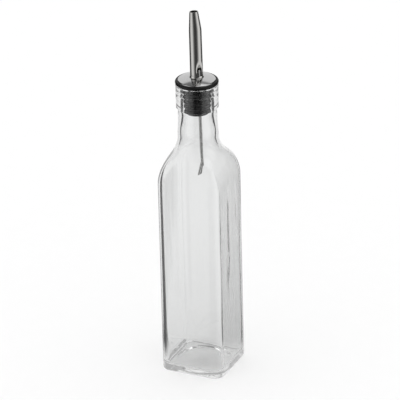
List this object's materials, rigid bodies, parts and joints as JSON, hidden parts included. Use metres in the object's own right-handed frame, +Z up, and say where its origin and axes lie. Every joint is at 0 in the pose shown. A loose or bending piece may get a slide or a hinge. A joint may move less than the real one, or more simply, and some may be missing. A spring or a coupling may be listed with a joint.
{
  "type": "oil bottle with pourer",
  "caption": "Tall square clear glass oil bottle with rounded shoulders, and a lift-out ribbed rubber stopper that holds a tapered metal pour spout with a vent slot and a breather tube.",
  "frame": {"origin": "centre of the bottle's base, on the surface it stands on", "axes": "+Z up along the neck's axis; the body's flat faces look along +X, -X, +Y and -Y"},
  "size_m": [0.055, 0.055, 0.314],
  "materials": {
    "clear_glass": "fire-polished clear flint glass, slightly wavy inside",
    "black_rubber": "moulded black rubber, satin",
    "plate_steel": "polished stainless sheet with fine turning marks",
    "spout_steel": "polished stainless tube with fine drawing marks",
    "breather_steel": "drawn stainless tube, dull"
  },
  "bodies": {
    "bottle": {"glass_bottle": "clear_glass"},
    "stopper": {"rubber_stopper": "black_rubber"},
    "spout": {"pour_spout": "spout_steel", "flange_plate": "plate_steel", "breather_tube": "breather_steel"}
  },
  "joints": [
    {"name": "pourer_lift", "type": "slide", "parent": "bottle", "child": "stopper", "axis": [0, 0, 1], "range_m": [0, 0.09]},
    {"name": "spout_turn", "type": "hinge", "parent": "stopper", "child": "spout", "pos_m": [0, 0, 0.24], "axis": [0, 0, 1], "continuous": true}
  ]
}
